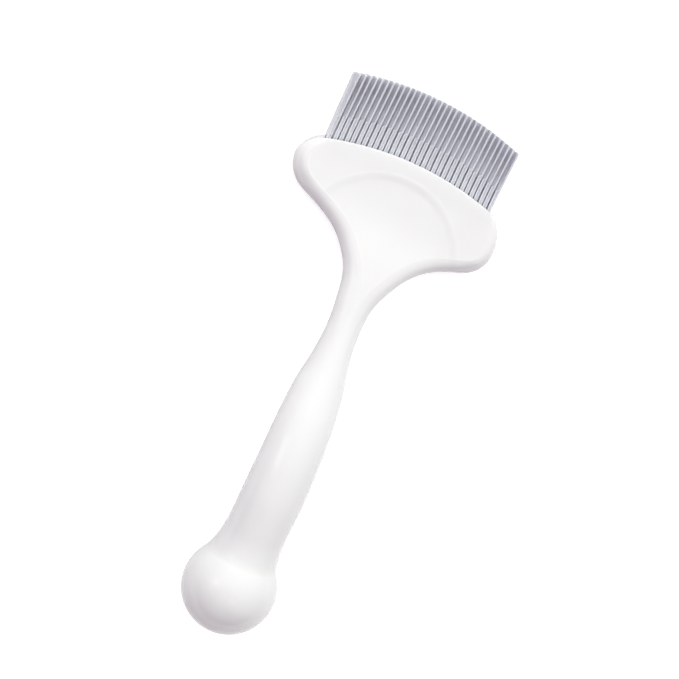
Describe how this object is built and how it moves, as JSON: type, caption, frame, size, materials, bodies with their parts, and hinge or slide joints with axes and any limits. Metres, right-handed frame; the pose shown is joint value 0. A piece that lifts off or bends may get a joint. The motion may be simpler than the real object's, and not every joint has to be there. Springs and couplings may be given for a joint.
{
  "type": "one-hand blade comb",
  "caption": "Moulded comb for salon use with a ball-ended handle, a fan-shaped head with rounded lobes, and a wide row of thin blade teeth.",
  "frame": {"origin": "centre of the whole part's box in X and Y, on the flat back that the comb lies on", "axes": "+X across the comb, +Y along the handle towards the teeth, +Z out of the front face"},
  "size_m": [0.0788, 0.2003, 0.0334],
  "materials": {
    "white_body": "glossy white moulded plastic",
    "grey_comb": "satin pale grey moulded plastic"
  },
  "bodies": {
    "root": {"front_shell": "white_body", "back_shell": "white_body", "front_comb_plate": "grey_comb", "rear_comb_plate": "grey_comb"}
  },
  "joints": []
}
